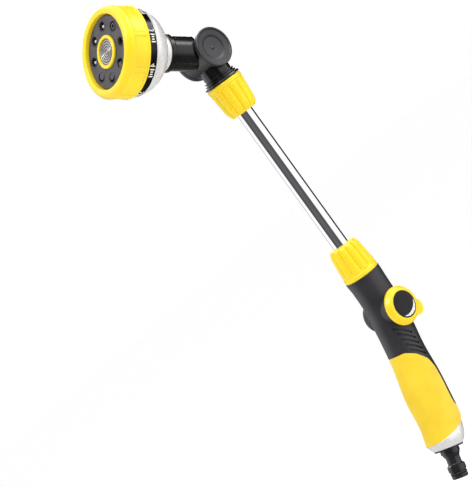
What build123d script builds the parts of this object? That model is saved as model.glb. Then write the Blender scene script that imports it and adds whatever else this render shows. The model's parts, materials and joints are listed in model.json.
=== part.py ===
"""Watering wand: pivoting eight-pattern spray head, chromed tube, valve handle and quick-connect inlet."""
import os
from math import cos, radians, sin

from build123d import *

os.makedirs("parts", exist_ok=True)

# ---------------------------------------------------------------- driving dimensions (mm, degrees)
INLET_TILT = 18.0          # nipple leans forward from the tube line
COLLAR_TO_FLANGE = 19.0    # nipple's locking collar centre (the origin) up to its flange face
TUBE_Y = 43.9              # tube axis behind the origin
VALVE_Z = 153.2            # knob and valve axis
HANDLE_BOTTOM_Z = 32.0     # where the grip meets the end sleeve
LOWER_NUT_Z = 196.1        # wide end of the lower collar nut, top of the handle
UPPER_NUT_Z = 418.7        # wide end of the upper collar nut
HINGE_Z = 449.9            # head pivot axis
HEAD_BEND = 60.0           # spray direction, from straight up towards the front

TUBE_R = 8.0
TUBE_WALL = 0.8
NUT_LENGTH = 34.0
NUT_R = 18.2
NUT_LOBES = 11
SPIGOT_R = 14.4            # threaded spigots that the collar nuts run on
BARREL_R = 19.0            # pivot barrel
BARREL_CAP_R = 19.3
BARREL_HALF = 15.9         # each half barrel, without its cap
PIVOT_GAP = 0.2            # each half stands this far from the middle plane
NECK_CLEAR_R = 19.65       # sweep clearance of each neck round the other half
BEZEL_R = 42.5
FACE_S = 102.9             # face plate, measured from the pivot along the spray direction
OUTLET_PITCH_R = 24.6
OUTLETS = 8
SKIN = 2.0                 # thickness of the grip panel and the back strip
SHELL = 3.0                # wall of the handle below that
GROOVE_DEPTH = 1.3         # thumb grooves behind the knob
GROOVE_WIDTH = 1.9
KNOB_R = 19.0
KNOB_TAB_ANGLE = -40.0     # tab direction, from straight back towards the floor

X = Vector(1, 0, 0)
UP = Vector(0, 0, 1)
SPRAY = Vector(0, -sin(radians(HEAD_BEND)), cos(radians(HEAD_BEND)))
INLET = Vector(0, sin(radians(INLET_TILT)), cos(radians(INLET_TILT)))
HINGE = Vector(0, TUBE_Y, HINGE_Z)
VALVE = Vector(0, TUBE_Y, VALVE_Z)
FLANGE = INLET * COLLAR_TO_FLANGE


def line_of(origin, direction):
    """Half-plane for turned outlines (radius, distance along) and the axis they turn about."""
    radial = X if abs(direction.X) < 0.5 else UP
    return Plane(origin=origin, x_dir=radial, z_dir=radial.cross(direction)), Axis(origin, direction)


HEAD_LINE = line_of(HINGE, SPRAY)
PIVOT_LINE = line_of(HINGE, X)
NECK_LINE = line_of(HINGE, UP * -1)
INLET_LINE = line_of(FLANGE, INLET)
VALVE_LINE = line_of(VALVE, X)
UPPER_LINE = line_of(Vector(0, TUBE_Y, UPPER_NUT_Z), UP * -1)
LOWER_LINE = line_of(Vector(0, TUBE_Y, LOWER_NUT_Z), UP)
HEAD_PLANE = Plane(origin=HINGE, x_dir=X, z_dir=SPRAY)
PIVOT_PLANE = Plane(origin=HINGE, x_dir=(0, 1, 0), z_dir=X)
VALVE_PLANE = Plane(origin=VALVE, x_dir=(0, 1, 0), z_dir=X)
INLET_PLANE = Plane(origin=FLANGE, x_dir=X, z_dir=INLET)


def turn(line, *points, mode=Mode.ADD):
    """Turn an outline of (radius, along[, corner radius]) points into the part being built."""
    section, axis = line
    with BuildSketch(section) as profile:
        with BuildLine():
            Polyline(*[point[:2] for point in points], close=True)
        make_face()
        for point in points:
            if len(point) > 2:
                corner = Vector(point[0], point[1])
                fillet(profile.vertices().sort_by_distance(corner)[0], radius=point[2])
    revolve(profile.sketch, axis=axis, mode=mode)


def tube(line, inner, outer, start, end, mode=Mode.ADD):
    """Turn a plain ring or, with no inner radius, a plain rod."""
    turn(line, (inner, start), (outer, start), (outer, end), (inner, end), mode=mode)


def cut_rod(line, radius, start, end, mode=Mode.SUBTRACT):
    tube(line, 0, radius, start, end, mode=mode)


def o_ring(line, centre_r, cord_r, along):
    section, axis = line
    with BuildSketch(section) as cord:
        with Locations((centre_r, along)):
            Circle(cord_r)
    revolve(cord.sketch, axis=axis)


def clockwise(radius, angle):
    """Place on the head plane, clockwise from the top as the user sees the face."""
    return radius * sin(radians(angle)), radius * cos(radians(angle))


def save(builder, name):
    builder.part.label = name
    export_step(builder.part, f"parts/{name}.step")


# ------------------------------------------------------------------------------ spray dial
OUTLET_ANGLES = [45 + 45 * step for step in range(OUTLETS)]
DIAL_REAR = 77.4           # rear of the dial body
BEZEL_REAR = 82.8
BEZEL_FRONT = 107.0


def bezel_ring():
    """Yellow grip ring of the dial, with eight shallow panels between narrow ribs."""
    with BuildPart() as ring:
        turn(HEAD_LINE, (39.7, BEZEL_REAR), (42.4, BEZEL_REAR, 0.4), (BEZEL_R, 101.5, 4.0),
             (39.8, BEZEL_FRONT, 3.6), (34.0, BEZEL_FRONT - 0.9, 1.2), (33.3, 101.6),
             (33.3, 99.0), (39.7, 99.0))
        with BuildSketch(HEAD_PLANE.offset(BEZEL_REAR + 2.4)) as panels:
            Circle(BEZEL_R + 2)
            Circle(BEZEL_R - 0.5, mode=Mode.SUBTRACT)
            with PolarLocations(0, OUTLETS, start_angle=0):
                with Locations((BEZEL_R, 0)):
                    Rectangle(8, 3.2, mode=Mode.SUBTRACT)
        extrude(panels.sketch, amount=13.4, mode=Mode.SUBTRACT)
    save(ring, "bezel_ring")


def number_ring():
    with BuildPart() as ring:
        turn(HEAD_LINE, (37.0, 74.9), (40.3, 74.9, 0.5), (40.5, BEZEL_REAR - 0.2), (37.0, BEZEL_REAR - 0.2))
    save(ring, "number_ring")


def dial_body():
    """Chambered body behind the face: one port and one chamber for each outlet."""
    with BuildPart() as body:
        turn(HEAD_LINE, (2.5, DIAL_REAR), (36.8, DIAL_REAR), (36.8, BEZEL_REAR), (39.4, BEZEL_REAR),
             (39.4, 98.6), (37.0, 98.6), (37.0, 84.4), (8.0, 84.4), (8.0, 93.8), (2.5, 93.8))
        with BuildSketch(HEAD_PLANE.offset(82.0)) as walls:
            with PolarLocations(22.2, OUTLETS, start_angle=22.5):
                Rectangle(29.5, 1.5)
        extrude(walls.sketch, amount=16.4)
        with BuildSketch(HEAD_PLANE.offset(DIAL_REAR - 1)) as ports:
            with Locations(*[clockwise(OUTLET_PITCH_R, angle) for angle in OUTLET_ANGLES]):
                Circle(3.0)
        extrude(ports.sketch, amount=9, mode=Mode.SUBTRACT)
        cut_rod(HEAD_LINE, 15.0, 93.8, 99.0)
    save(body, "dial_body")


def face_plate():
    """Charcoal face with its eight outlets: cone, jet hole, flat slot, two crescents, three jets."""
    cone, hole, slot, crescent, soaker, *jets = OUTLET_ANGLES
    deep = 2.2
    with BuildPart() as plate:
        turn(HEAD_LINE, (13.7, 98.8), (32.7, 98.8), (32.7, FACE_S, 0.5), (13.7, FACE_S))
        with BuildSketch(HEAD_PLANE.offset(FACE_S)) as pockets:
            with Locations(clockwise(OUTLET_PITCH_R, cone)):
                Circle(4.9)
                Circle(3.2, mode=Mode.SUBTRACT)
            with Locations(clockwise(OUTLET_PITCH_R, crescent), clockwise(OUTLET_PITCH_R, soaker)):
                Circle(4.6)
            with Locations(clockwise(OUTLET_PITCH_R - 2.2, crescent)):
                Circle(3.8, mode=Mode.SUBTRACT)
            with Locations(clockwise(OUTLET_PITCH_R - 1.4, soaker)):
                Circle(3.4, mode=Mode.SUBTRACT)
            for jet in jets:
                with Locations(clockwise(OUTLET_PITCH_R, jet)):
                    Circle(4.3)
        extrude(pockets.sketch, amount=-deep, mode=Mode.SUBTRACT)
        with BuildSketch(HEAD_PLANE.offset(FACE_S)) as openings:
            with Locations(clockwise(OUTLET_PITCH_R, hole)):
                Circle(3.8)
            with Locations(clockwise(OUTLET_PITCH_R, cone)):
                Circle(1.7)
            with Locations(clockwise(OUTLET_PITCH_R, slot)):
                Rectangle(8.6, 7.6)
                with Locations((0, -1.9)):
                    Rectangle(4.4, 5.6, mode=Mode.SUBTRACT)
            for jet in jets:
                with Locations(clockwise(OUTLET_PITCH_R, jet)):
                    Circle(1.5)
        extrude(openings.sketch, amount=-6, mode=Mode.SUBTRACT)
    save(plate, "face_plate")


def jet_inserts():
    """Three pale jet nozzles, one in each of the face's round recesses."""
    with BuildPart() as jets:
        for angle in OUTLET_ANGLES[5:]:
            across, up = clockwise(OUTLET_PITCH_R, angle)
            spot = HEAD_PLANE.from_local_coords(Vector(across, up, 0))
            turn(line_of(spot, SPRAY), (0.5, 97.0), (1.4, 97.0), (1.4, FACE_S - 1.8),
                 (1.1, FACE_S - 0.9, 0.2), (0.5, FACE_S - 0.9))
    save(jets, "jet_inserts")


def rose_ring():
    with BuildPart() as ring:
        turn(HEAD_LINE, (12.0, 98.9), (13.4, 98.9), (13.4, FACE_S + 0.1), (15.1, FACE_S + 0.1),
             (15.1, FACE_S + 2.0, 1.0), (12.0, FACE_S + 2.0, 0.6))
    save(ring, "rose_ring")


def rose_mesh():
    """Grey perforated disc inside the centre ring."""
    with BuildPart() as mesh:
        turn(HEAD_LINE, (0, 101.8), (11.9, 101.8), (11.9, FACE_S + 0.4), (0, FACE_S + 0.4))
        with BuildSketch(HEAD_PLANE.offset(FACE_S + 0.4)) as holes:
            for ring in range(1, 5):
                with PolarLocations(2.3 * ring, 6 * ring):
                    Circle(0.4)
        extrude(holes.sketch, amount=-3, mode=Mode.SUBTRACT)
    save(mesh, "rose_mesh")


def dial_screw():
    with BuildPart() as screw:
        turn(HEAD_LINE, (0, 66.5), (2.45, 66.5), (2.45, 94.9), (4.4, 94.9), (4.4, 97.4, 1.0), (0, 97.4))
        with BuildSketch(HEAD_PLANE.offset(97.5)) as recess:
            RegularPolygon(1.7, 6)
        extrude(recess.sketch, amount=-1.6, mode=Mode.SUBTRACT)
    save(screw, "dial_screw")


def dial_washer():
    with BuildPart() as washer:
        tube(HEAD_LINE, 2.6, 5.6, 94.0, 94.8)
    save(washer, "dial_washer")


# ------------------------------------------------------------------------------ spray head
def port_plate():
    """Fixed plate that lets water through to one chamber, with the detent ball's blind bore."""
    port = clockwise(OUTLET_PITCH_R, OUTLET_ANGLES[0])
    ball = clockwise(OUTLET_PITCH_R, OUTLET_ANGLES[4])
    with BuildPart() as plate:
        turn(HEAD_LINE, (0, 64.5), (5.5, 64.5), (5.5, 70.8), (34.0, 70.8), (34.0, 72.6),
             (35.6, 72.6), (35.6, 75.4), (0, 75.4))
        with BuildSketch(HEAD_PLANE.offset(76)) as seat:
            with Locations(port):
                Circle(5.6)
        extrude(seat.sketch, amount=-3.0, mode=Mode.SUBTRACT)
        with BuildSketch(HEAD_PLANE.offset(76)) as through:
            with Locations(port):
                Circle(3.2)
        extrude(through.sketch, amount=-8, mode=Mode.SUBTRACT)
        with BuildSketch(HEAD_PLANE.offset(76)) as blind:
            with Locations(ball):
                Circle(2.1)
        extrude(blind.sketch, amount=-4.6, mode=Mode.SUBTRACT)
        cut_rod(HEAD_LINE, 2.5, 60, 80)
    save(plate, "port_plate")


def port_seal():
    across, up = clockwise(OUTLET_PITCH_R, OUTLET_ANGLES[0])
    spot = HEAD_PLANE.from_local_coords(Vector(across, up, 0))
    with BuildPart() as seal:
        turn(line_of(spot, SPRAY), (3.2, 73.1), (5.5, 73.1), (5.5, 76.0), (4.7, 77.0), (3.2, 77.0))
    save(seal, "port_seal")


def detent():
    """Steel ball and coil spring that click the dial into each pattern."""
    across, up = clockwise(OUTLET_PITCH_R, OUTLET_ANGLES[4])
    spot = HEAD_PLANE.from_local_coords(Vector(across, up, 0))
    ball_r = 2.0
    with BuildPart() as ball:
        with Locations(spot + SPRAY * 75.0):
            Sphere(ball_r)
    save(ball, "detent_ball")
    foot = spot + SPRAY * 71.65
    with BuildPart() as spring:
        with BuildLine() as coil:
            Helix(pitch=0.5, height=1.0, radius=1.4, center=foot, direction=SPRAY)
        with BuildSketch(Plane(origin=coil.line @ 0, z_dir=coil.line % 0)):
            Circle(0.18)
        sweep(is_frenet=True)
    save(spring, "detent_spring")


def head_shell():
    """Pearl-silver bell between the neck and the dial."""
    section, axis = HEAD_LINE
    with BuildPart() as shell:
        with BuildSketch(section) as profile:
            with BuildLine():
                outer = Spline((17.2, 50.6), (27.0, 55.4), (35.4, 63.9), (39.2, 74.4))
                inner = Spline((36.9, 74.4), (33.4, 65.0), (25.8, 57.4), (14.5, 53.2))
                Line(outer @ 1, inner @ 0)
                Polyline(inner @ 1, (13.8, 53.2), (13.8, 50.6), outer @ 0)
            make_face()
        revolve(profile.sketch, axis=axis)
        tube(HEAD_LINE, 34.1, 38.0, 70.2, 74.9, mode=Mode.SUBTRACT)
        tube(HEAD_LINE, 37.0, 38.6, 70.2, 74.4)
        tube(HEAD_LINE, 34.1, 37.5, 68.4, 70.6)
    save(shell, "head_shell")


def head_collar():
    with BuildPart() as collar:
        turn(HEAD_LINE, (13.8, 44.8), (16.9, 44.8, 0.4), (17.6, 47.4, 1.0), (17.3, 50.4, 0.4), (13.8, 50.4))
    save(collar, "head_collar")


def head_elbow():
    """Half barrel, neck and threaded spout that carry the spray head."""
    with BuildPart() as elbow:
        turn(HEAD_LINE, (0, 0), (16.2, 0), (16.2, 39.2, 1.0), (17.8, 40.6), (17.8, 44.5, 0.5),
             (13.6, 44.5), (13.6, 56.4), (0, 56.4))
        tube(PIVOT_LINE, 0, NECK_CLEAR_R, -PIVOT_GAP, 40, mode=Mode.SUBTRACT)
        tube(PIVOT_LINE, 0, BARREL_R + 3, -40, -BARREL_HALF, mode=Mode.SUBTRACT)
        tube(PIVOT_LINE, 0, BARREL_R, -BARREL_HALF, -PIVOT_GAP)
        tube(PIVOT_LINE, 0, 13.0, -BARREL_HALF - 1, -6.0, mode=Mode.SUBTRACT)
        tube(PIVOT_LINE, 0, 7.95, -8, 0, mode=Mode.SUBTRACT)
        offset_line = line_of(HINGE + X * -8.4, SPRAY)
        tube(offset_line, 0, 3.6, 10, 26, mode=Mode.SUBTRACT)
        tube(HEAD_LINE, 0, 11.8, 24, 60, mode=Mode.SUBTRACT)
    save(elbow, "head_elbow")


# ------------------------------------------------------------------------------ pivot
def barrel_cap(name, side):
    """Dished cap with a thin raised rim and a centre nub, closing one end of the barrel."""
    line = line_of(HINGE, X * side)
    with BuildPart() as cap:
        turn(line, (0, 13.0), (12.95, 13.0), (12.95, BARREL_HALF), (BARREL_CAP_R, BARREL_HALF),
             (BARREL_CAP_R, 19.9, 0.7), (17.7, 19.9, 0.7), (16.9, 18.9, 0.8), (12.2, 18.3, 1.0),
             (10.2, 17.2, 1.0), (2.0, 16.7, 0.3), (1.4, 17.4, 0.3), (0, 17.5))
    save(cap, name)


def pivot_elbow():
    """Half barrel, neck and threaded spigot on the tube side, with the hollow pivot journal."""
    with BuildPart() as elbow:
        turn(NECK_LINE, (0, 0), (14.2, 0), (14.2, 23.4), (15.8, 23.9, 0.5), (15.8, 25.3, 0.5),
             (14.7, 25.6), (14.7, 26.0), (16.6, 26.4, 0.5), (16.6, 28.1, 0.5), (SPIGOT_R, 28.3),
             (SPIGOT_R, 44.0, 0.6), (0, 44.0))
        tube(PIVOT_LINE, 0, NECK_CLEAR_R, -40, PIVOT_GAP, mode=Mode.SUBTRACT)
        tube(PIVOT_LINE, 0, BARREL_R, PIVOT_GAP, BARREL_HALF)
        tube(PIVOT_LINE, 0, 13.0, 6.0, BARREL_HALF + 1, mode=Mode.SUBTRACT)
        turn(PIVOT_LINE, (0, -8.6), (7.4, -8.6), (7.9, -8.1), (7.9, -7.6), (6.9, -7.6), (6.9, -6.5),
             (7.9, -6.5), (7.9, -4.4), (6.4, -4.4), (6.4, -2.4), (7.9, -2.4), (7.9, 1.0), (0, 1.0))
        tube(PIVOT_LINE, 0, 4.8, -9, 8, mode=Mode.SUBTRACT)
        offset_line = line_of(HINGE + X * 8.4, UP * -1)
        tube(offset_line, 0, 3.6, 10, 27, mode=Mode.SUBTRACT)
        tube(NECK_LINE, 0, 7.0, 24, 30, mode=Mode.SUBTRACT)
        tube(NECK_LINE, 0, TUBE_R + 0.15, 29, 46, mode=Mode.SUBTRACT)
        tube(NECK_LINE, 0, 10.6, 40.6, 46, mode=Mode.SUBTRACT)
    save(elbow, "pivot_elbow")


def pivot_fittings():
    with BuildPart() as ring:
        o_ring(PIVOT_LINE, 7.15, 0.72, -3.4)
    save(ring, "pivot_o_ring")
    with BuildPart() as washer:
        tube(PIVOT_LINE, 8.0, 11.4, -6.4, -6.1)
    save(washer, "pivot_washer")
    with BuildPart() as clip:
        tube(PIVOT_LINE, 7.0, 9.8, -7.5, -6.6)
        with BuildSketch(PIVOT_PLANE.offset(-8)) as gap:
            with Locations((0, 10)):
                Rectangle(5.0, 12)
        extrude(gap.sketch, amount=2, mode=Mode.SUBTRACT)
    save(clip, "pivot_circlip")


def upper_flange_ring():
    with BuildPart() as ring:
        turn(NECK_LINE, (SPIGOT_R + 0.05, 28.4), (18.0, 28.4, 0.4), (18.8, 30.7, 0.5), (SPIGOT_R + 0.05, 30.9))
    save(ring, "upper_flange_ring")


# ------------------------------------------------------------------------------ tube and nuts
def collar_nut(name, line):
    """Fluted hand nut: plain band, eleven lobes and a domed end round the tube."""
    _, axis = line
    along = axis.direction
    with BuildPart() as nut:
        turn(line, (14.8, 0), (17.9, 0, 0.4), (NUT_R, 3.6, 0.8), (17.6, 4.8), (15.5, 27.0, 5.0),
             (12.4, NUT_LENGTH, 1.6), (TUBE_R + 0.4, NUT_LENGTH, 0.5), (TUBE_R + 0.4, 25.5),
             (12.7, 24.0), (12.7, 17.5), (14.8, 16.5))
        for lobe in range(NUT_LOBES):
            turned = X.rotate(Axis((0, 0, 0), along), lobe * 360 / NUT_LOBES)
            foot = axis.position + turned * 18.7 + along * 4.8
            lean = (turned * -2.2 + along * 23.0).normalized()
            with BuildSketch(Plane(origin=foot, z_dir=lean)) as flute:
                Circle(1.5)
            extrude(flute.sketch, amount=34, mode=Mode.SUBTRACT)
    save(nut, name)


def nut_insides(which, line):
    """Tube seal, slip washer and split grip ring that a collar nut presses on the tube."""
    with BuildPart() as seal:
        o_ring(line, 9.3, 1.22, 11.3)
    save(seal, f"{which}_tube_seal")
    with BuildPart() as washer:
        tube(line, TUBE_R + 0.4, 12.3, 13.2, 14.4)
    save(washer, f"{which}_slip_washer")
    section, axis = line
    with BuildPart() as grip:
        turn(line, (TUBE_R + 0.3, 14.5), (12.3, 14.5), (12.3, 20.0), (10.2, 23.4), (TUBE_R + 0.3, 23.4))
        with BuildSketch(Plane(origin=axis.position, z_dir=axis.direction)) as slit:
            with Locations((0, 10)):
                Rectangle(1.6, 8)
        extrude(slit.sketch, amount=30, mode=Mode.SUBTRACT)
    save(grip, f"{which}_grip_ring")


def wand_tube():
    with BuildPart() as pipe:
        tube(LOWER_LINE, TUBE_R - TUBE_WALL, TUBE_R, 2.0, HINGE_Z - 29.5 - LOWER_NUT_Z)
    save(pipe, "wand_tube")


# ------------------------------------------------------------------------------ handle
# Height, shift of the centre from the tube line, half width and half depth of each level section.
HANDLE_SECTIONS = [
    (LOWER_NUT_Z, 0.0, 18.4, 18.4),
    (187.0, 0.0, 18.0, 18.0),
    (175.0, -0.3, 17.6, 17.7),
    (163.0, -1.3, 17.4, 18.1),
    (152.0, -3.0, 17.2, 18.9),
    (131.0, -6.9, 17.0, 19.7),
    (112.0, -11.7, 16.8, 19.9),
    (96.0, -15.6, 17.0, 21.6),
    (80.0, -19.5, 17.5, 23.6),
    (60.0, -23.6, 17.6, 23.5),
    (45.0, -26.8, 17.8, 23.4),
    (HANDLE_BOTTOM_Z, -32.3, 17.6, 22.9),
]


def handle_loft(inset):
    """Solid through the handle's level sections, drawn in by an inset."""
    with BuildPart(mode=Mode.PRIVATE) as solid:
        for height, shift, half_width, half_depth in HANDLE_SECTIONS:
            with BuildSketch(Plane(origin=(0, TUBE_Y + shift, height), z_dir=(0, 0, 1))):
                Ellipse(half_width - inset, half_depth - inset)
        loft()
    return solid.part


def side_prism(points, radii):
    """Side-view outline (Y, Z), cut right through the handle."""
    with BuildPart(mode=Mode.PRIVATE) as prism:
        with BuildSketch(Plane.YZ.offset(-40)):
            with BuildLine():
                FilletPolyline(*points, radius=radii, close=True)
            make_face()
        extrude(amount=80)
    return prism.part


PANEL_OUTLINE = [
    (-12, 123.4), (19.4, 116.6), (27.4, 109.4), (36.4, 97.5), (38.7, 87.0), (36.3, 72.0),
    (32.0, 54.0), (31.5, 47.0), (48, 42.0), (48, HANDLE_BOTTOM_Z), (-30, HANDLE_BOTTOM_Z), (-30, 60),
]
PANEL_RADII = [0, 6, 10, 8, 8, 20, 10, 6, 0, 0, 0, 0]
STRIP_OUTLINE = [
    (70, 112), (42.0, 104.5), (41.4, 88.0), (37.6, 71.6), (34.4, 56.0), (34.2, 50.0), (70, 46),
]
STRIP_RADII = [0, 5, 10, 20, 8, 4, 0]


def handle():
    outer = handle_loft(0)
    skin = outer - handle_loft(SKIN)
    panel_block = side_prism(PANEL_OUTLINE, PANEL_RADII)
    strip_block = side_prism(STRIP_OUTLINE, STRIP_RADII)

    with BuildPart() as panel:
        add(skin)
        add(panel_block, mode=Mode.INTERSECT)
    save(panel, "grip_panel")

    with BuildPart() as strip:
        add(skin)
        add(strip_block, mode=Mode.INTERSECT)
        for height, depth in ((97.0, 47.0), (80.5, 45.3), (64.5, 41.2)):
            with BuildSketch(Plane.YZ.offset(-30)) as scallop:
                with Locations((depth + 8.6, height)):
                    Circle(5.6)
            extrude(scallop.sketch, amount=60, mode=Mode.SUBTRACT)
    save(strip, "back_strip")

    cavity_blocks = handle_loft(SKIN + SHELL)
    groove_tools = outer - handle_loft(GROOVE_DEPTH)
    with BuildPart() as body:
        add(outer)
        tube(VALVE_LINE, 0, 18.0, 8, 17.6)
        tube(line_of(VALVE, X * -1), 0, 16.2, 8, 17.5)
        add(panel.part, mode=Mode.SUBTRACT)
        add(skin & strip_block, mode=Mode.SUBTRACT)
        with BuildPart(mode=Mode.PRIVATE) as cavity:
            add(cavity_blocks)
            with BuildSketch(Plane.XY.offset(43)):
                Rectangle(200, 200)
            extrude(amount=141, mode=Mode.INTERSECT)
        add(cavity.part, mode=Mode.SUBTRACT)
        cut_rod(VALVE_LINE, 13.9, -30, 30)
        for groove in range(5):
            with BuildPart(mode=Mode.PRIVATE) as slab:
                with BuildSketch(Plane(origin=(0, TUBE_Y - 12.9, 133.0 - 6.1 * groove), x_dir=X,
                                       z_dir=(0, sin(radians(46)), cos(radians(46))))):
                    Rectangle(60, 19)
                extrude(amount=GROOVE_WIDTH)
                add(groove_tools, mode=Mode.INTERSECT)
            add(slab.part, mode=Mode.SUBTRACT)
        tube(LOWER_LINE, 0, SPIGOT_R, -2, 13.0)
        cut_rod(LOWER_LINE, TUBE_R + 0.15, 1.8, 14)
        cut_rod(LOWER_LINE, 10.6, 9.6, 14)
        cut_rod(LOWER_LINE, 6.6, -14, 3)
        cut_rod(INLET_LINE, 11.7, 5, 46)
    save(body, "handle_body")


def end_sleeve():
    """Pearl-silver sleeve that closes the grip, from its oval foot to the inlet flange."""
    height, shift, half_width, half_depth = HANDLE_SECTIONS[-1]
    with BuildPart() as sleeve:
        with BuildSketch(Plane(origin=(0, TUBE_Y + shift, height), z_dir=(0, 0, 1))):
            Ellipse(half_width, half_depth)
        with BuildSketch(Plane(origin=FLANGE + INLET * 6.0, x_dir=X, z_dir=INLET)):
            Ellipse(16.6, 18.6)
        with BuildSketch(Plane(origin=FLANGE + INLET * 1.7, x_dir=X, z_dir=INLET)):
            Circle(14.6)
        loft()
        cut_rod(INLET_LINE, 11.7, -5, 46)
    save(sleeve, "end_sleeve")


# ------------------------------------------------------------------------------ water path
def nipple():
    """Quick-connect hose nipple with its flange, locking collar and seal groove."""
    with BuildPart() as stub:
        turn(INLET_LINE, (5.2, 22), (10.4, 22), (10.4, 9), (11.6, 9), (11.6, 1.6), (14.25, 1.6, 0.3),
             (14.25, 0, 0.3), (8.7, 0), (8.7, -4.5), (8.2, -6.0, 1.0), (6.8, -8.5, 2.0),
             (6.8, -14.8, 1.0), (8.3, -16.2), (8.7, -16.5), (8.7, -21.5), (7.9, -21.9), (7.9, -23.0),
             (6.6, -23.0), (6.6, -25.4), (7.9, -25.4), (7.9, -28.0, 0.5), (7.3, -28.9), (5.2, -28.9))
        cut_rod(INLET_LINE, 7.2, 12, 23)
        with BuildSketch(INLET_PLANE) as lugs:
            with PolarLocations(8.4, 4, start_angle=45):
                Rectangle(1.7, 2.4)
        extrude(lugs.sketch, amount=-4.2)
        cut_rod(INLET_LINE, 5.2, -30, 13)
    save(stub, "inlet_nipple")
    with BuildPart() as ring:
        o_ring(INLET_LINE, 7.46, 0.84, -24.2)
    save(ring, "nipple_o_ring")
    with BuildPart() as screen:
        turn(INLET_LINE, (0, -20.0), (3.4, -20.0), (5.1, -27.9), (4.4, -27.9), (2.8, -20.8), (0, -20.8))
        with BuildSketch(INLET_PLANE.offset(-18)) as holes:
            with GridLocations(1.4, 1.4, 3, 3):
                Circle(0.45)
        extrude(holes.sketch, amount=-4, mode=Mode.SUBTRACT)
    save(screen, "inlet_filter")


WATER_WAY = VALVE - FLANGE
WATER_LINE = line_of(FLANGE, WATER_WAY.normalized())


def water_tube():
    with BuildPart() as pipe:
        tube(WATER_LINE, 5.0, 6.3, 13.5, WATER_WAY.length - 17)
    save(pipe, "water_tube")


def valve_body():
    """Cross-bored valve housing inside the handle, from the grip's tube to the wand tube."""
    reach = WATER_WAY.length
    with BuildPart() as housing:
        tube(VALVE_LINE, 0, 13.6, -14.9, 17.4)
        tube(line_of(VALVE, UP), 0, 8.6, 0, 30.4)
        tube(WATER_LINE, 0, 9.2, reach - 27, reach)
        tube(VALVE_LINE, 0, 10.0, -11.5, 20, mode=Mode.SUBTRACT)
        tube(line_of(VALVE, UP), 0, 5.0, 0, 32, mode=Mode.SUBTRACT)
        tube(WATER_LINE, 0, 5.0, reach - 30, reach, mode=Mode.SUBTRACT)
        tube(WATER_LINE, 0, 6.4, reach - 30, reach - 16.5, mode=Mode.SUBTRACT)
    save(housing, "valve_body")


def valve_plug():
    """Rotary plug with its cross bore, seal grooves and square-shouldered stem."""
    with BuildPart() as plug:
        turn(VALVE_LINE, (0, -11.2), (9.95, -11.2), (9.95, -10.0), (8.4, -10.0), (8.4, -7.9), (9.95, -7.9),
             (9.95, 7.9), (8.4, 7.9), (8.4, 10.0), (9.95, 10.0), (9.95, 14.0), (5.0, 14.0),
             (5.0, 22.2), (0, 22.2))
        tube(line_of(VALVE, UP), 0, 4.6, -20, 20, mode=Mode.SUBTRACT)
        tube(VALVE_LINE, 0, 1.25, 8, 24, mode=Mode.SUBTRACT)
        with BuildSketch(VALVE_PLANE.offset(18.4)) as flat:
            with Locations((0, 6.6)):
                Rectangle(20, 5)
        extrude(flat.sketch, amount=6, mode=Mode.SUBTRACT)
    save(plug, "valve_plug")
    with BuildPart() as rings:
        for along in (-8.95, 8.95):
            o_ring(VALVE_LINE, 9.17, 0.75, along)
    save(rings, "valve_o_rings")


def valve_cap():
    """Dished cap of the valve's far side."""
    with BuildPart() as cap:
        turn(line_of(VALVE, X * -1), (0, 15.1), (13.8, 15.1), (13.8, 17.7), (15.6, 17.7),
             (15.6, 19.8, 0.7), (14.2, 19.8, 0.6), (13.2, 18.9, 0.5), (0, 18.6))
    save(cap, "valve_cap")


def knob():
    """Yellow flow knob with a low cone, a finger tab and a round recess for its insert."""
    with BuildPart() as dial:
        turn(VALVE_LINE, (5.05, 18.4), (KNOB_R, 18.4, 0.5), (KNOB_R, 20.6, 1.2), (16.4, 24.6, 1.4),
             (14.4, 25.4, 0.6), (13.4, 25.2), (13.4, 24.0), (3.0, 24.0), (3.0, 22.3), (5.05, 22.3))
        tab_way = Vector(0, cos(radians(KNOB_TAB_ANGLE)), sin(radians(KNOB_TAB_ANGLE)))
        tab_plane = Plane(origin=VALVE, x_dir=tab_way, z_dir=X)
        with BuildSketch(tab_plane.offset(18.6)) as tab:
            with Locations((17.0, 0)):
                Circle(7.8)
            Circle(14.0, mode=Mode.SUBTRACT)
        extrude(tab.sketch, amount=3.4)
        with BuildSketch(VALVE_PLANE.offset(18.4)) as flat:
            with Locations((0, 6.4)):
                Rectangle(9, 4.4)
        extrude(flat.sketch, amount=3.8)
        cut_rod(VALVE_LINE, 3.0, 22.2, 25)
        tube(VALVE_LINE, 8.0, 15.5, 17, 21.0, mode=Mode.SUBTRACT)
    save(dial, "flow_knob")
    with BuildPart() as insert:
        turn(VALVE_LINE, (0, 24.1), (13.25, 24.1), (13.25, 25.2, 0.3), (9.0, 25.7, 8.0), (0, 25.8))
        with BuildSketch(tab_plane.offset(25.2)) as channel:
            Circle(11.6)
            with Locations((-3.4, 0)):
                Circle(11.6, mode=Mode.SUBTRACT)
        extrude(channel.sketch, amount=1, mode=Mode.SUBTRACT)
    save(insert, "knob_insert")
    with BuildPart() as mark:
        extrude(channel.sketch, amount=0.55)
    save(mark, "knob_mark")
    with BuildPart() as screw:
        turn(VALVE_LINE, (0, 12.0), (1.2, 12.0), (1.2, 22.4), (2.7, 22.4), (2.7, 23.7, 0.4), (0, 23.7))
    save(screw, "knob_screw")


bezel_ring()
number_ring()
dial_body()
face_plate()
jet_inserts()
rose_ring()
rose_mesh()
dial_screw()
dial_washer()
port_plate()
port_seal()
detent()
head_shell()
head_collar()
head_elbow()
barrel_cap("head_barrel_cap", -1)
barrel_cap("tube_barrel_cap", 1)
pivot_elbow()
pivot_fittings()
upper_flange_ring()
collar_nut("upper_nut", UPPER_LINE)
nut_insides("upper", UPPER_LINE)
wand_tube()
collar_nut("lower_nut", LOWER_LINE)
nut_insides("lower", LOWER_LINE)
handle()
end_sleeve()
nipple()
water_tube()
valve_body()
valve_plug()
valve_cap()
knob()
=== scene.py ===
import json
from math import atan2, cos, pi, radians, sin

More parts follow.
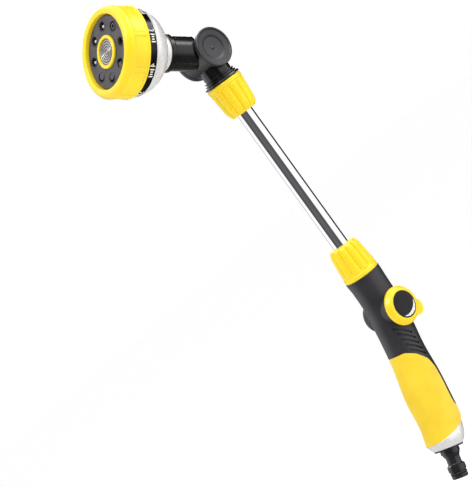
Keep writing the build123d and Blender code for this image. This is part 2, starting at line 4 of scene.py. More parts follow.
import bmesh
import bpy
from mathutils import Matrix, Vector


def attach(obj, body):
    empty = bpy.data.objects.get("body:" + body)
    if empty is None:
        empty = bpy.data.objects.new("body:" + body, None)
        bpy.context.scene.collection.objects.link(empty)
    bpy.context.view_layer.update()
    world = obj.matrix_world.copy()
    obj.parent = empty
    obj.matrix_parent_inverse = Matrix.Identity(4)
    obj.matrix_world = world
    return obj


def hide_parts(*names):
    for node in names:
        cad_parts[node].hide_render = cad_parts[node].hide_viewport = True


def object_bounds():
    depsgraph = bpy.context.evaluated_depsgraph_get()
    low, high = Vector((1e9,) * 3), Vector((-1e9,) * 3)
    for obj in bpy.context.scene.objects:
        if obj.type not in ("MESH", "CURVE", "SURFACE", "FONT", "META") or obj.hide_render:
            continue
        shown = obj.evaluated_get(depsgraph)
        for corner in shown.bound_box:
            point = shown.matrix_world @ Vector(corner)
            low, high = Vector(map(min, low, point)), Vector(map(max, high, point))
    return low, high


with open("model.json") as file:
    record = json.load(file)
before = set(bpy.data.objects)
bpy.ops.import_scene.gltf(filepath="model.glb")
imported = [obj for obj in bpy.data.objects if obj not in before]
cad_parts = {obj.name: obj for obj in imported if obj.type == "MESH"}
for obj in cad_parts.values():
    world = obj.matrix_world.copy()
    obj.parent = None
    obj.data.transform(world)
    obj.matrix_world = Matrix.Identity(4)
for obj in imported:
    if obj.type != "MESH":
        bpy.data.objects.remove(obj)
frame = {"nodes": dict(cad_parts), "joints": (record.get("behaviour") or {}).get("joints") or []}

cad_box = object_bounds()
low, high = cad_box
joints = {joint["name"]: joint for joint in frame["joints"]}

# ---------------------------------------------------------------- camera
# A long lens from the knob side, level with the tube and rolled over so that the wand leans to the
# left and its spray head looks down past the viewer.
CAMERA_AZIMUTH, CAMERA_HEIGHT, CAMERA_ROLL = radians(52.86), radians(5.4), radians(-36.07)
CAMERA_DISTANCE, LENS_MM, SENSOR_MM = 1.5, 123.3, 36.0
AIM_FORWARD, AIM_RAISED = 0.0532, 0.0324    # metres from the middle of the CAD box
aim = Vector((0.0, (low.y + high.y) / 2 - AIM_FORWARD, (low.z + high.z) / 2 + AIM_RAISED))
aside = Vector((sin(CAMERA_AZIMUTH), -cos(CAMERA_AZIMUTH), 0))
back = aside * cos(CAMERA_HEIGHT) + Vector((0, 0, sin(CAMERA_HEIGHT)))
level_right = Vector((0, 0, 1)).cross(back).normalized()
level_up = back.cross(level_right)
right = level_right * cos(CAMERA_ROLL) + level_up * sin(CAMERA_ROLL)
up = back.cross(right)
camera_data = bpy.data.cameras.new("wand_camera")
camera_data.lens = LENS_MM
camera_data.sensor_width = SENSOR_MM
camera_data.clip_end = 50.0
camera = bpy.data.objects.new("wand_camera", camera_data)
camera.matrix_world = Matrix.Translation(aim + back * CAMERA_DISTANCE) @ Matrix(
    (right, up, back)).transposed().to_4x4()
bpy.context.scene.collection.objects.link(camera)
bpy.context.scene.camera = camera


# ---------------------------------------------------------------- studio
# A white light tent over a pale floor well below the wand. The tent's walls are white to the eye, a
# little darker as fill light, and hung with grey flags that only shiny surfaces pick up.
def linear(hex_colour):
    """sRGB hex to the linear RGBA that a shader socket takes."""
    channels = [int(hex_colour[i:i + 2], 16) / 255 for i in (1, 3, 5)]
    return [c / 12.92 if c <= 0.04045 else ((c + 0.055) / 1.055) ** 2.4 for c in channels] + [1.0]


def put(tree, kind, settings=None, values=None, **links):
    """One shader or geometry node, with its settings, its plain input values and its links."""
    new = tree.nodes.new(kind)
    for name, value in (settings or {}).items():
        setattr(new, name, value)
    for key, value in (values or {}).items():
        new.inputs[key].default_value = value
    for name, source in links.items():
        key = int(name[1:]) if name[0] == "i" and name[1:].isdigit() else name.replace("_", " ")
        tree.links.new(source, new.inputs[key])
    return new


FILL_LIGHT, WALL, LAMPS, UNDERSIDE = 0.52, 1.0, 2.0, 0.18
world = bpy.data.worlds.new("light_tent")
bpy.context.scene.world = world
world.use_nodes = True
tent = world.node_tree
tent.nodes.clear()
ray = put(tent, "ShaderNodeLightPath")
direction = put(tent, "ShaderNodeTexCoord")
axes = put(tent, "ShaderNodeSeparateXYZ", i0=direction.outputs["Generated"])
heading = put(tent, "ShaderNodeMath", {"operation": "ARCTAN2"}, i0=axes.outputs["Y"], i1=axes.outputs["X"])
share = put(tent, "ShaderNodeMapRange", None, {1: -pi, 2: pi, 3: 0.0, 4: 1.0}, i0=heading.outputs[0])
panels = put(tent, "ShaderNodeValToRGB", i0=share.outputs[0])
facing = atan2(aside.y, aside.x)
# Wall brightness by heading in degrees from the camera's own: bright panels between dark flags.
FLAGS = [(-180, 0.50), (-142, 0.70), (-132, 1.25), (-82, 1.25), (-74, 0.07), (-30, 0.15), (22, 0.09),
         (30, 1.25), (104, 1.25), (112, 0.01), (164, 0.01), (174, 0.5)]
ramp = panels.color_ramp
stops = sorted((((facing + radians(angle) + pi) / (2 * pi)) % 1.0, level) for angle, level in FLAGS)
while len(ramp.elements) < len(stops):
    ramp.elements.new(0.5)
for element, (place, level) in zip(ramp.elements, stops):
    element.position = place
    element.color = (level, level, level, 1)
# Overhead the tent is open to a bright bank of lamps, and below the wand it is dim.
overhead = put(tent, "ShaderNodeMapRange", {"interpolation_type": "SMOOTHSTEP"}, {1: 0.45, 2: 0.75},
               i0=axes.outputs["Z"])
beneath = put(tent, "ShaderNodeMapRange", {"interpolation_type": "SMOOTHSTEP"}, {1: -0.35, 2: -0.75},
              i0=axes.outputs["Z"])
lamps = put(tent, "ShaderNodeMix", {"data_type": "RGBA"}, {7: (LAMPS, LAMPS, LAMPS, 1)},
            i0=overhead.outputs[0], i6=panels.outputs[0])
dimmed = put(tent, "ShaderNodeMix", {"data_type": "RGBA"}, {7: (UNDERSIDE, UNDERSIDE, UNDERSIDE, 1)},
             i0=beneath.outputs[0], i6=lamps.outputs[2])
flagged = put(tent, "ShaderNodeBackground", None, {"Strength": WALL}, Color=dimmed.outputs[2])
fill = put(tent, "ShaderNodeBackground", None, {"Color": (1, 1, 1, 1), "Strength": FILL_LIGHT})
wall = put(tent, "ShaderNodeBackground", None, {"Color": (1, 1, 1, 1), "Strength": WALL})
shiny = put(tent, "ShaderNodeMixShader", i0=ray.outputs["Is Glossy Ray"],
            i1=fill.outputs[0], i2=flagged.outputs[0])
seen = put(tent, "ShaderNodeMixShader", i0=ray.outputs["Is Camera Ray"],
           i1=shiny.outputs[0], i2=wall.outputs[0])
put(tent, "ShaderNodeOutputWorld", Surface=seen.outputs[0])


def soft_box(name, where, size, watts):
    """A square soft box, aimed at the middle of the wand."""
    light = bpy.data.lights.new(name, "AREA")
    light.shape = "SQUARE"
    light.size = size
    light.energy = watts
    lamp = bpy.data.objects.new(name, light)
    towards = (aim - where).normalized()
    lamp.matrix_world = Matrix.Translation(where) @ towards.to_track_quat("-Z", "Y").to_matrix().to_4x4()
    bpy.context.scene.collection.objects.link(lamp)


soft_box("key_box", aim + back * 0.9 - right * 0.9 + up * 0.9, 0.6, 13)
soft_box("top_box", aim + up * 1.2 + right * 0.4 + back * 0.2, 0.8, 7)
soft_box("rear_box", aim - back * 1.1 - right * 0.5 + up * 0.6, 0.8, 8)

FLOOR_DROP, FLOOR_REACH = 0.45, 6.0
floor_z = low.z - FLOOR_DROP
floor_mesh = bpy.data.meshes.new("pale_floor")
floor_mesh.from_pydata([(x * FLOOR_REACH, y * FLOOR_REACH, floor_z)
                        for x, y in ((-1, -1), (1, -1), (1, 1), (-1, 1))], [], [(0, 1, 2, 3)])
pale_floor = bpy.data.objects.new("pale_floor", floor_mesh)
bpy.context.scene.collection.objects.link(pale_floor)
pale_floor.visible_glossy = False
# Acrylic sheet, cast white and lit from behind: an even pale glow that shiny parts don't mirror.
card = bpy.data.materials.new("backlit_white_acrylic")
card.use_nodes = True
card_shader = card.node_tree.nodes["Principled BSDF"]
for key, value in (("Base Color", linear("#FAFAFA")), ("Roughness", 0.9),
                   ("Emission Color", linear("#FFFFFF")), ("Emission Strength", 0.45)):
    card_shader.inputs[key].default_value = value
floor_mesh.materials.append(card)
bpy.context.scene.view_settings.view_transform = "Standard"


# ---------------------------------------------------------------- hose nipple
# Quick-connect nipple screwed into the foot of the grip: injection-moulded glass-filled nylon, satin
# black, with a nitrile O-ring in its groove and a woven filter cup pushed into its mouth.
def finish(name, base, roughness, **sockets):
    """A material with its Principled shader set, and its tree, ready for a pattern."""
    material = bpy.data.materials.new(name)
    material.use_nodes = True
    shader = material.node_tree.nodes["Principled BSDF"]
    shader.inputs["Base Color"].default_value = linear(base)
    shader.inputs["Roughness"].default_value = roughness
    for key, value in sockets.items():
        shader.inputs[key.replace("_", " ")].default_value = value
    return material, material.node_tree, shader


def grain(look, size, depth, smoothest, roughest, stretch=(1, 1, 1)):
    """Surface texture of one size in metres. It drives the bump, and the roughness between two values."""
    material, tree, shader = look
    spot = put(tree, "ShaderNodeTexCoord")
    drawn = put(tree, "ShaderNodeMapping", None, {"Scale": stretch}, i0=spot.outputs["Object"])
    noise = put(tree, "ShaderNodeTexNoise", None, {"Scale": 1 / size, "Detail": 3.0}, Vector=drawn.outputs[0])
    sheen = put(tree, "ShaderNodeMapRange", None, {1: 0.3, 2: 0.7, 3: smoothest, 4: roughest},
                i0=noise.outputs[0])
    relief = put(tree, "ShaderNodeBump", None, {"Strength": 1.0, "Distance": depth}, Height=noise.outputs[0])
    tree.links.new(sheen.outputs[0], shader.inputs["Roughness"])
    tree.links.new(relief.outputs[0], shader.inputs["Normal"])
    return material


def mottle(look, light, dark, size):
    """Slow drift of the base colour between two shades, over patches of a size in metres."""
    tree, shader = look[1:]
    spot = put(tree, "ShaderNodeTexCoord")
    noise = put(tree, "ShaderNodeTexNoise", None, {"Scale": 1 / size, "Detail": 2.0},
                Vector=spot.outputs["Object"])
    spread = put(tree, "ShaderNodeMapRange", None, {1: 0.35, 2: 0.65}, i0=noise.outputs[0])
    shade = put(tree, "ShaderNodeMix", {"data_type": "RGBA"}, {6: linear(light), 7: linear(dark)},
                i0=spread.outputs[0])
    tree.links.new(shade.outputs[2], shader.inputs["Base Color"])
    return look


def dress(material, *names):
    """Gives CAD nodes their finish."""
    for name in names:
        slots = frame["nodes"][name].data.materials
        slots.clear()
        slots.append(material)


# Glass-filled nylon, moulded: satin, with a faint fibre mottle. Real grain is 0.1 mm, drawn at 1.6 mm.
moulded_nylon = grain(mottle(finish("moulded_glass_filled_nylon", "#212024", 0.35),
                             "#27262A", "#1B1A1E", 0.012), 0.0016, 0.00001, 0.26, 0.36)
# Nitrile rubber, moulded: soft black with a dull bloom.
nitrile = grain(finish("moulded_nitrile_rubber", "#131313", 0.55), 0.0008, 0.00002, 0.45, 0.7)
# Acetal, moulded: milky white and waxy.
acetal = grain(mottle(finish("moulded_acetal", "#E9E9E4", 0.35), "#F0F0EC", "#E0DFD8", 0.004),
               0.0012, 0.00001, 0.28, 0.42)
dress(moulded_nylon, "inlet_nipple")
dress(nitrile, "nipple_o_ring")
dress(acetal, "inlet_filter")

# ---------------------------------------------------------------- end sleeve
# Sleeve between the grip and the nipple: ABS, sprayed with pearl-silver lacquer under a clear coat, so
# fine aluminium flakes sparkle in it.
lacquer_look = finish("sprayed_pearl_silver_lacquer", "#EFEDEB", 0.3, Metallic=0.22, Coat_Weight=0.5,
                      Coat_Roughness=0.08)
# Flakes are 0.05 mm, too fine to show, so they are drawn at 0.9 mm.
FLAKE = 0.0009
flake_spot = put(lacquer_look[1], "ShaderNodeTexCoord")
flakes = put(lacquer_look[1], "ShaderNodeTexVoronoi", None, {"Scale": 1 / FLAKE},
             Vector=flake_spot.outputs["Object"])
flake_tone = put(lacquer_look[1], "ShaderNodeSeparateColor", i0=flakes.outputs["Color"])
flake_shade = put(lacquer_look[1], "ShaderNodeMix", {"data_type": "RGBA"},
                  {6: linear("#F1EFEE"), 7: linear("#E8E6E4")}, i0=flake_tone.outputs[0])
lacquer_look[1].links.new(flake_shade.outputs[2], lacquer_look[2].inputs["Base Color"])
pearl_lacquer = grain(lacquer_look, 0.0060, 0.000004, 0.26, 0.31)
dress(pearl_lacquer, "end_sleeve")

# ---------------------------------------------------------------- grip
# Handle moulded in charcoal nylon with a spark-eroded satin texture. A soft yellow elastomer panel and
# a black back strip are moulded over it.
# Nylon, spark-textured mould: dark satin charcoal. Real texture is 0.15 mm, drawn at 0.9 mm.
charcoal_nylon = grain(mottle(finish("spark_textured_nylon", "#2B292D", 0.45), "#302E32", "#262428", 0.03),
                       0.0009, 0.00004, 0.36, 0.52)
# Thermoplastic elastomer, moulded over: matte warm yellow with a faint flow mottle.
soft_yellow = grain(mottle(finish("overmoulded_yellow_elastomer", "#F9D524", 0.62, Sheen_Weight=0.15,
                                  Sheen_Roughness=0.5), "#FBD829", "#F5CD1C", 0.022),
                    0.0014, 0.00005, 0.55, 0.72)
# The same elastomer in black.
soft_black = grain(mottle(finish("overmoulded_black_elastomer", "#242226", 0.6), "#29272B", "#1E1C20", 0.01),
                   0.0010, 0.00004, 0.5, 0.68)
dress(charcoal_nylon, "handle_body")
dress(soft_yellow, "grip_panel")
dress(soft_black, "back_strip")

# ---------------------------------------------------------------- valve
# Rotary shut-off inside the handle: a nylon housing on the water tube, a drilled acetal plug with two
# O-rings, and a dished cap on its far side.
dress(moulded_nylon, "water_tube", "valve_body")
dress(acetal, "valve_plug")
dress(nitrile, "valve_o_rings")
dress(charcoal_nylon, "valve_cap")


# ---------------------------------------------------------------- flow knob
# Round ABS knob on the plug's stem, held by a stainless screw under a domed, glossy black insert that
# carries a white printed crescent split into steps.
def link(piece, material):
    """Puts a finished mesh object in the scene with its material."""
    bpy.context.scene.collection.objects.link(piece)
    if not piece.data.materials:
        piece.data.materials.append(material)
    return piece


def solid(name, points, faces, material, crease=35):
    """Mesh object from points in metres: welded, faced outwards, smooth except at creases."""
    mesh = bpy.data.meshes.new(name)
    mesh.from_pydata([tuple(point) for point in points], [], faces)
    work = bmesh.new()
    work.from_mesh(mesh)
    bmesh.ops.remove_doubles(work, verts=work.verts, dist=1e-6)
    bmesh.ops.dissolve_degenerate(work, edges=work.edges, dist=1e-7)
    bmesh.ops.recalc_face_normals(work, faces=work.faces)
    work.to_mesh(mesh)
    work.free()
    mesh.shade_smooth()
    mesh.set_sharp_from_angle(angle=radians(crease))
    return link(bpy.data.objects.new(name, mesh), material)


def rounded(outline, steps=6):
    """Closed outline of (x, y[, corner radius]) in millimetres, with its corners rounded."""
    path = []
    for i, corner in enumerate(outline):
        here = Vector(corner[:2])
        radius = corner[2] if len(corner) > 2 else 0
        if not radius:
            path.append(here)
            continue
        before = (Vector(outline[i - 1][:2]) - here).normalized()
        after = (Vector(outline[(i + 1) % len(outline)][:2]) - here).normalized()
        half = before.angle(after) / 2
        reach = radius / max(0.2, abs(sin(half) / cos(half)))
        start, end = here + before * reach, here + after * reach
        for step in range(steps + 1):
            t = step / steps
            path.append(start * (1 - t) ** 2 + here * 2 * t * (1 - t) + end * t ** 2)
    return path


def axis_frame(joint, start):
    """Foot, axis and two cross directions of a turned piece, from the joint that it turns on."""
    axis = Vector(joint["axis"]).normalized()
    first = (start - axis * start.dot(axis)).normalized()
    return Vector(joint["pos_m"]), axis, first, axis.cross(first)


def turned(name, place, path, steps, material, shape=None, crease=35):
    """Turns a closed outline (radius, along) in millimetres about an axis; shape alters the radius."""
    foot, axis, first, second = place
    points = []
    for step in range(steps):
        angle = 2 * pi * step / steps
        outward = first * cos(angle) + second * sin(angle)
        for radius, along in path:
            bent = shape(radius, along, angle) if shape and radius > 0 else radius
            points.append(foot + (axis * along + outward * bent) * 0.001)
    count = len(path)
    faces = [(step * count + i, step * count + (i + 1) % count,
              (step + 1) % steps * count + (i + 1) % count, (step + 1) % steps * count + i)
             for step in range(steps) for i in range(count)]
    return solid(name, points, faces, material, crease)


# ABS, polished mould: bright lemon yellow, half gloss, with a slight orange peel drawn at 4 mm.
lemon_abs = grain(mottle(finish("moulded_lemon_abs", "#FFDD1C", 0.3), "#FFE022", "#FFD916", 0.030),
                  0.0040, 0.00001, 0.26, 0.34)
# Polished black ABS, as glossy as glass.
gloss_black = grain(finish("polished_black_abs", "#08080A", 0.08, Specular_IOR_Level=0.3),
                    0.004, 0.00001, 0.05, 0.12)
# Pad-printed ink: slightly uneven white.
print_white = grain(mottle(finish("pad_printed_white_ink", "#F2F2EF", 0.45), "#F8F8F5", "#E6E6E2", 0.0012),
                    0.0009, 0.00001, 0.38, 0.52)
# Stainless steel, turned: grey with a fine tooled grain, drawn at 0.6 mm.
turned_steel = grain(finish("turned_stainless_steel", "#B4B4B7", 0.3, Metallic=1.0),
                     0.0006, 0.00001, 0.22, 0.36)
knob_place = axis_frame(joints["flow_knob_turn"], Vector((0, 1, 0)))
INSERT_R, INSERT_BACK, INSERT_EDGE, INSERT_FACE = 13.25, 24.1, 25.2, 25.8
insert = turned("knob_dome", knob_place, rounded([
    (0, INSERT_BACK), (INSERT_R, INSERT_BACK), (INSERT_R, INSERT_EDGE, 0.35),
    (9.0, INSERT_FACE - 0.1, 6.0), (0, INSERT_FACE)]), 96, gloss_black)
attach(insert, "flow_valve")
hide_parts("knob_insert")

# The crescent runs between two headings in degrees, in six printed steps of six slices each.
CRESCENT_FROM, CRESCENT_TO, CRESCENT_R, CRESCENT_WIDE = -8, -134, 11.9, 3.0
CRESCENT_PARTS, PART_SLICES, PART_GAP, PRINT_SUNK, PRINT_RISE = 6, 6, 0.04, 0.25, 0.12
crescent_points, crescent_faces = [], []
foot, axis, first, second = knob_place
for part in range(CRESCENT_PARTS):
    for step in range(PART_SLICES + 1):
        t = (part + PART_GAP + (1 - 2 * PART_GAP) * step / PART_SLICES) / CRESCENT_PARTS
        angle = radians(CRESCENT_FROM + (CRESCENT_TO - CRESCENT_FROM) * t)
        wide = max(0.15, CRESCENT_WIDE * sin(pi * t) ** 0.8)
        outward = first * cos(angle) + second * sin(angle)
        for radius in (CRESCENT_R, CRESCENT_R - wide):
            rise = INSERT_EDGE + (INSERT_FACE - INSERT_EDGE) * (1 - (radius / INSERT_R) ** 2) ** 0.5
            for along in (rise - PRINT_SUNK, rise + PRINT_RISE):
                crescent_points.append(foot + (axis * along + outward * radius) * 0.001)
        if step:
            a, b = len(crescent_points) - 8, len(crescent_points) - 4
            crescent_faces += [(a, a + 1, b + 1, b), (a + 1, a + 3, b + 3, b + 1),
                               (a + 3, a + 2, b + 2, b + 3), (a + 2, a, b, b + 2)]
            if step == 1:
                crescent_faces.append((a, a + 2, a + 3, a + 1))
            if step == PART_SLICES:
                crescent_faces.append((b, b + 1, b + 3, b + 2))
crescent = solid("knob_crescent", crescent_points, crescent_faces, print_white)
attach(crescent, "flow_valve")
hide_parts("knob_mark")
dress(lemon_abs, "flow_knob")
dress(turned_steel, "knob_screw")


# ---------------------------------------------------------------- spigot threads
# Two-millimetre threads moulded on the top of the handle and on the foot of the pivot elbow, which the
# collar nuts run on. One spiral rule makes both.
def rule(name, sizes):
    """An empty geometry rule with a named input for each size."""
    tree = bpy.data.node_groups.new(name, "GeometryNodeTree")
    keys = {}
    for label in sizes:
        socket = tree.interface.new_socket(name=label, in_out="INPUT", socket_type="NodeSocketFloat")
        keys[label] = socket.identifier
    tree.interface.new_socket(name="Geometry", in_out="OUTPUT", socket_type="NodeSocketGeometry")
    return tree, keys, put(tree, "NodeGroupInput")


def grow(name, tree, keys, sizes, geometry, material, place):
    """Ends a rule in real geometry with its material, runs it, and sets the plain mesh in its place."""
    real = put(tree, "GeometryNodeRealizeInstances", i0=geometry)
    coated = put(tree, "GeometryNodeSetMaterial", None, {"Material": material}, i0=real.outputs[0])
    put(tree, "NodeGroupOutput", i0=coated.outputs[0])
    seed = bpy.data.objects.new(name + "_seed", bpy.data.meshes.new(name + "_seed"))
    bpy.context.scene.collection.objects.link(seed)
    modifier = seed.modifiers.new("rule", "NODES")
    modifier.node_group = tree
    for label, key in keys.items():
        modifier[key] = sizes[label]
    mesh = bpy.data.meshes.new_from_object(seed.evaluated_get(bpy.context.evaluated_depsgraph_get()))
    mesh.name = name
    mesh.transform(place)
    mesh.shade_smooth()
    seed.modifiers.remove(modifier)
    bpy.data.objects.remove(seed)
    return link(bpy.data.objects.new(name, mesh), material)


def stand(place, lift=0.0):
    """Matrix from a rule's own XYZ to a turned piece's two cross directions and axis, in metres."""
    foot, axis, first, second = place
    return Matrix.Translation(foot + axis * lift) @ Matrix((first, second, axis)).transposed().to_4x4()


# The ridge starts this far above the foot of the spigot.
THREAD_START = 0.0015
thread_sizes = {"radius": 0.0144, "length": 0.0100, "pitch": 0.0020, "ridge": 0.00026}
nut_places = {which: axis_frame(joints[which + "_nut_turn"], Vector((1, 0, 0)))
              for which in ("lower", "upper")}
for which, place in nut_places.items():
    tree, keys, sizes = rule(which + "_thread_rule", thread_sizes)
    turns = put(tree, "ShaderNodeMath", {"operation": "DIVIDE"}, i0=sizes.outputs["length"],
                i1=sizes.outputs["pitch"])
    spiral = put(tree, "GeometryNodeCurveSpiral", None, {"Resolution": 48}, Rotations=turns.outputs[0],
                 Start_Radius=sizes.outputs["radius"], End_Radius=sizes.outputs["radius"],
                 Height=sizes.outputs["length"])
    ridge = put(tree, "GeometryNodeCurvePrimitiveCircle", None, {"Resolution": 6},
                Radius=sizes.outputs["ridge"])
    thread = put(tree, "GeometryNodeCurveToMesh", None, {"Fill Caps": True}, Curve=spiral.outputs[0],
                 Profile_Curve=ridge.outputs[0])
    piece = grow(which + "_thread", tree, keys, thread_sizes, thread.outputs[0], charcoal_nylon,
                 stand(place, THREAD_START))
    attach(piece, "grip")

# ---------------------------------------------------------------- collar nuts
# Hand-tightened nuts at both ends of the tube, ABS: a plain band, eleven rounded finger lobes and a
# scalloped dome. Inside each are a tube seal, a slip washer and a split grip ring.
NUT_LOBES, NUT_LONG, LOBE_DEEP, LOBE_SHARP = 11, 34.0, 2.3, 0.65
nut_outline = rounded([(14.8, 0), (17.8, 0, 0.5), (18.2, 1.0, 0.4), (18.2, 3.9, 0.8), (17.3, 4.8, 0.5),
                       (17.9, 6.0, 1.0)]
                      + [(17.9 - 0.09 * step, 6.9 + step) for step in range(17)]
                      + [(16.1, 27.0, 2.5), (14.6, 31.4, 2.5), (12.4, NUT_LONG, 1.2), (8.4, NUT_LONG, 0.5),
                         (8.4, 25.5), (12.7, 24.0), (12.7, 17.5), (14.8, 16.5)], 4)


def lobed(radius, along, angle):
    """Finger lobes with narrow flutes, which run out at the band and over the dome.

    A known fault: above the band the bore is bent as well, so its flutes cut into the spigot's thread.
    """
    rise = min(1.0, max(0.0, (along - 4.9) / 2.2))
    outer = min(1.0, max(0.0, (radius - 12.9) / 2.0)) if along > 4.9 else 0.0
    return radius - LOBE_DEEP * rise * outer * (1 - abs(sin(NUT_LOBES * angle / 2)) ** LOBE_SHARP)


for which, place in nut_places.items():
    nut = turned(which + "_collar", place, nut_outline, NUT_LOBES * 20, lemon_abs, lobed, 50)
    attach(nut, which + "_nut")
    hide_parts(which + "_nut")
    dress(nitrile, which + "_tube_seal")
    dress(acetal, which + "_slip_washer", which + "_grip_ring")

# ---------------------------------------------------------------- wand tube
# Drawn steel tube, 16 mm, chromed and polished, held at both ends by the collar nuts.
# Chromed steel: mirror bright, with faint lengthwise die lines. The lines are 0.05 mm wide, drawn at
# 0.5 mm, and run 30 times as long.
chrome = grain(finish("chromed_drawn_steel", "#E9EAED", 0.05, Metallic=1.0), 0.0005, 0.000004, 0.03, 0.13,
               (1, 1, 1 / 30))
dress(chrome, "wand_tube")

# ---------------------------------------------------------------- pivot
# Elbow and barrel that the head swings on: black nylon with a polished neck, a sprung circlip, a wave
# washer and an O-ring inside, and a dished cap on each end of the barrel.
# Nylon, polished mould: nearly black, glossy enough for long highlights.
neck_nylon = grain(mottle(finish("polished_nylon", "#0D0C0E", 0.26, Coat_Weight=0.3, Coat_Roughness=0.12,
                                 Specular_IOR_Level=0.35), "#111013", "#0A090B", 0.02),
                   0.0030, 0.00001, 0.16, 0.26)
dress(neck_nylon, "pivot_elbow", "upper_flange_ring", "head_elbow")
dress(charcoal_nylon, "tube_barrel_cap", "head_barrel_cap")
dress(turned_steel, "pivot_washer", "pivot_circlip")
dress(nitrile, "pivot_o_ring")

# ---------------------------------------------------------------- spray head
# Bell screwed to the neck through a ring collar, both lacquered pearl silver. Inside are the port
# plate, its rubber seal, and the steel ball and spring that click the dial round.
dress(pearl_lacquer, "head_collar", "head_shell")
dress(acetal, "port_plate", "dial_washer")
dress(nitrile, "port_seal")
dress(turned_steel, "detent_ball", "detent_spring", "dial_screw")

# ---------------------------------------------------------------- number ring
# Black ABS band behind the grip ring, pad-printed with the numbers of the eight patterns and a short
# scale after each.
RING_R, RING_MIDDLE, PRINT_PROUD, PRINT_THICK = 40.5, 78.7, 0.10, 0.05
PATTERNS, PATTERN_TURN, DIGIT_SIZE, DIGIT_ASIDE = 8, 45, 7.56, -4.6
TICK_ASIDE, TICK_PITCH, TICK_HALF, TICK_TALL = -0.6, 2.3, 0.6, (4.2, 2.6, 2.6, 4.2)
dial_place = axis_frame(joints["dial_turn"], Vector((0, 0, 1)))
foot, axis, first, second = dial_place


def wrap(x, y, z, turn):
    """From flat print (x around, y forward, z proud) in millimetres to the ring's outside."""
    angle = -(radians(turn) + x / RING_R)
    outward = first * cos(angle) + second * sin(angle)
    return foot + (axis * (RING_MIDDLE + y) + outward * (RING_R + z)) * 0.001


print_points, print_faces = [], []
for number in range(PATTERNS):
    text = bpy.data.curves.new("digit", "FONT")
    text.body, text.size, text.align_x, text.align_y = str(number + 1), DIGIT_SIZE, "CENTER", "CENTER"
    text.extrude = PRINT_THICK
    flat = bpy.data.objects.new("digit", text)
    bpy.context.scene.collection.objects.link(flat)
    digit = bpy.data.meshes.new_from_object(flat.evaluated_get(bpy.context.evaluated_depsgraph_get()))
    start = len(print_points)
    print_points += [wrap(DIGIT_ASIDE + v.co.x, v.co.y, PRINT_PROUD + v.co.z, PATTERN_TURN * number)
                     for v in digit.vertices]
    print_faces += [tuple(start + i for i in face.vertices) for face in digit.polygons]
    bpy.data.objects.remove(flat)
    for tick, tall in enumerate(TICK_TALL):
        start = len(print_points)
        across = TICK_ASIDE + TICK_PITCH * tick
        for x in (across - TICK_HALF, across + TICK_HALF):
            for y in (-tall / 2, tall / 2):
                print_points += [wrap(x, y, PRINT_PROUD + z, PATTERN_TURN * number)
                                 for z in (-PRINT_THICK, PRINT_THICK)]
        print_faces += [tuple(start + i for i in quad) for quad in (
            (0, 1, 3, 2), (4, 6, 7, 5), (0, 4, 5, 1), (2, 3, 7, 6), (1, 5, 7, 3), (0, 2, 6, 4))]
numbers = solid("pattern_numbers", print_points, print_faces, print_white)
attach(numbers, "dial")
dress(gloss_black, "number_ring")

# ---------------------------------------------------------------- grip ring
# Yellow ABS ring that turns the dial: eight shallow finger panels between narrow raised ribs, a thin
# lip behind and a fat rounded rim in front of the face.
RIBS, RIB_HALF, PANEL_DEEP, RIB_GROOVE, GROOVE_OUT = 8, 1.5, 0.75, 0.35, 0.5
PANEL_REAR, PANEL_FRONT, PANEL_SKIN = 85.0, 99.4, 41.9
RING_REAR, RING_FRONT, GRIP_R = 82.8, 107.0, 42.5
grip_outline = rounded([(39.7, RING_REAR), (42.0, RING_REAR, 0.3), (GRIP_R, RING_REAR + 0.5, 0.3),
                        (GRIP_R, RING_REAR + 1.6, 0.3), (42.2, PANEL_REAR)]
                       + [(42.35, PANEL_REAR + 0.2 + 0.35 * step) for step in range(40)]
                       + [(GRIP_R, 99.6), (GRIP_R, 101.4, 4.2), (39.6, RING_FRONT - 0.2, 3.6),
                          (34.0, RING_FRONT - 1.0, 1.2), (33.3, 101.6), (33.3, 99.0), (39.7, 99.0)], 6)


def ease(value):
    """Smooth step from 0 to 1."""
    value = min(1.0, max(0.0, value))
    return value * value * (3 - 2 * value)


def panelled(radius, along, angle):
    """Shallow panels between the ribs, with a fine groove along each side of a rib."""
    if radius < PANEL_SKIN or not PANEL_REAR < along < PANEL_FRONT:
        return radius
    pitch = 2 * pi / RIBS
    aside_rib = abs((angle + pitch / 2) % pitch - pitch / 2) * GRIP_R
    within = ease(along - PANEL_REAR - 0.2) * ease((PANEL_FRONT - 0.8 - along) / 1.4)
    panel = PANEL_DEEP * ease((aside_rib - RIB_HALF) / 0.7) * (0.55 + 0.45 * ease((15.5 - aside_rib) / 14))
    groove = RIB_GROOVE * max(0.0, 1 - abs(aside_rib - RIB_HALF - GROOVE_OUT) / 0.6)
    return radius - within * (panel + groove)


grip_ring = turned("dial_grip", dial_place, grip_outline, 720, lemon_abs, panelled, 40)
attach(grip_ring, "dial")
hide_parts("bezel_ring")

# ---------------------------------------------------------------- face and outlets
# Charcoal ABS face plate with eight outlets and the chambered body behind it. Each outlet has a thin
# moulded lip, and three have acetal jets pressed in.
# ABS, spark-textured mould: dark warm grey, matte.
face_abs = grain(mottle(finish("spark_textured_charcoal_abs", "#3E3A3F", 0.5), "#454146", "#373338", 0.008),
                 0.0011, 0.00005, 0.42, 0.6)
OUTLETS, OUTLET_CIRCLE, FACE, SHADE_RING_SINK = 8, 0.0246, 0.1029, 0.0021
lip_sizes = {"circle": OUTLET_CIRCLE, "outlet": 0.0049, "lip": 0.00042}
tree, keys, sizes = rule("outlet_lip_rule", lip_sizes)
spots = put(tree, "GeometryNodeMeshCircle", None, {"Vertices": OUTLETS}, Radius=sizes.outputs["circle"])
edge = put(tree, "GeometryNodeCurvePrimitiveCircle", None, {"Resolution": 40},
           Radius=sizes.outputs["outlet"])
bead = put(tree, "GeometryNodeCurvePrimitiveCircle", None, {"Resolution": 8}, Radius=sizes.outputs["lip"])
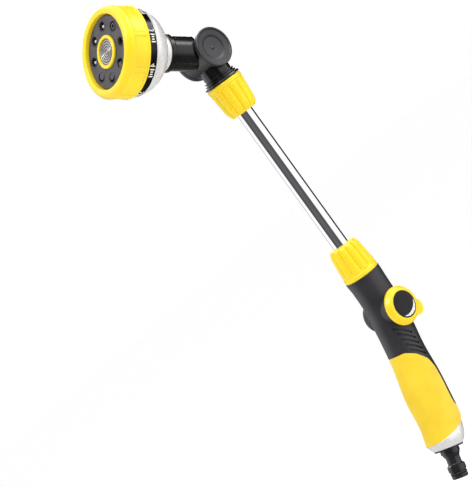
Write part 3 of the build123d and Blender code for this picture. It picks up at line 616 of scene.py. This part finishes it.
lip = put(tree, "GeometryNodeCurveToMesh", Curve=edge.outputs[0], Profile_Curve=bead.outputs[0])
lips = put(tree, "GeometryNodeInstanceOnPoints", Points=spots.outputs[0], Instance=lip.outputs[0])
outlet_lips = grow("outlet_lips", tree, keys, lip_sizes, lips.outputs[0], face_abs,
                   stand(dial_place, FACE))
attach(outlet_lips, "dial")

# A flat glossy black ring lies in the floor of each outlet as painted shade in the hollow, squashed to this
# share of its round section.
SHADE_RING_FLAT = 0.12
shade_ring_sizes = {"circle": OUTLET_CIRCLE, "middle": 0.0031, "wide": 0.00135}
tree, keys, sizes = rule("outlet_shade_ring_rule", shade_ring_sizes)
spots = put(tree, "GeometryNodeMeshCircle", None, {"Vertices": OUTLETS}, Radius=sizes.outputs["circle"])
track = put(tree, "GeometryNodeCurvePrimitiveCircle", None, {"Resolution": 40},
            Radius=sizes.outputs["middle"])
band = put(tree, "GeometryNodeCurvePrimitiveCircle", None, {"Resolution": 6}, Radius=sizes.outputs["wide"])
# This squashed dark ring is painted shade on the floor of each outlet.
washer = put(tree, "GeometryNodeCurveToMesh", Curve=track.outputs[0], Profile_Curve=band.outputs[0])
pressed = put(tree, "GeometryNodeTransform", None, {"Scale": (1, 1, SHADE_RING_FLAT)}, i0=washer.outputs[0])
placed_shade_rings = put(tree, "GeometryNodeInstanceOnPoints", Points=spots.outputs[0], Instance=pressed.outputs[0])
outlet_shade_rings = grow("outlet_shade_rings", tree, keys, shade_ring_sizes, placed_shade_rings.outputs[0], gloss_black,
                   stand(dial_place, FACE - SHADE_RING_SINK))
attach(outlet_shade_rings, "dial")
dress(face_abs, "face_plate")
dress(acetal, "jet_inserts")
dress(moulded_nylon, "dial_body")

# ---------------------------------------------------------------- rose
# Perforated plate in the middle of the face inside a yellow ABS ring: pressed from sheet steel and
# etched grey, with raised rings between its circles of holes.
# Etched steel: dull grey metal with a fine frosted grain, drawn at 0.7 mm.
etched = grain(mottle(finish("etched_sheet_steel", "#757173", 0.42, Metallic=0.5),
                      "#7D797B", "#6A6668", 0.003), 0.0007, 0.00003, 0.35, 0.52)
ROSE_FACE, ROSE_RINGS = 0.1033, 5
rose_sizes = {"first": 0.00115, "pitch": 0.0023, "ridge": 0.00038}
tree, keys, sizes = rule("rose_ring_rule", rose_sizes)
row = put(tree, "GeometryNodeMeshLine", None, {"Count": ROSE_RINGS, "Offset": (0, 0, 0)})
index = put(tree, "GeometryNodeInputIndex")
reach = put(tree, "ShaderNodeMath", {"operation": "MULTIPLY_ADD"}, i0=index.outputs[0],
            i1=sizes.outputs["pitch"], i2=sizes.outputs["first"])
circle = put(tree, "GeometryNodeCurvePrimitiveCircle", None, {"Resolution": 72, "Radius": 1.0})
circles = put(tree, "GeometryNodeInstanceOnPoints", Points=row.outputs[0],
              Instance=circle.outputs[0], Scale=reach.outputs[0])
lines = put(tree, "GeometryNodeRealizeInstances", i0=circles.outputs[0])
wire = put(tree, "GeometryNodeCurvePrimitiveCircle", None, {"Resolution": 6}, Radius=sizes.outputs["ridge"])
ridges = put(tree, "GeometryNodeCurveToMesh", Curve=lines.outputs[0], Profile_Curve=wire.outputs[0])
# The crests are a lighter, shinier steel than the etched field.
crest_steel = grain(finish("light_crest_steel", "#BDBABB", 0.3, Metallic=0.7), 0.0007, 0.00001, 0.26, 0.38)
rose_lines = grow("rose_lines", tree, keys, rose_sizes, ridges.outputs[0], crest_steel,
                  stand(dial_place, ROSE_FACE))
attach(rose_lines, "dial")
dress(etched, "rose_mesh")
dress(lemon_abs, "rose_ring")
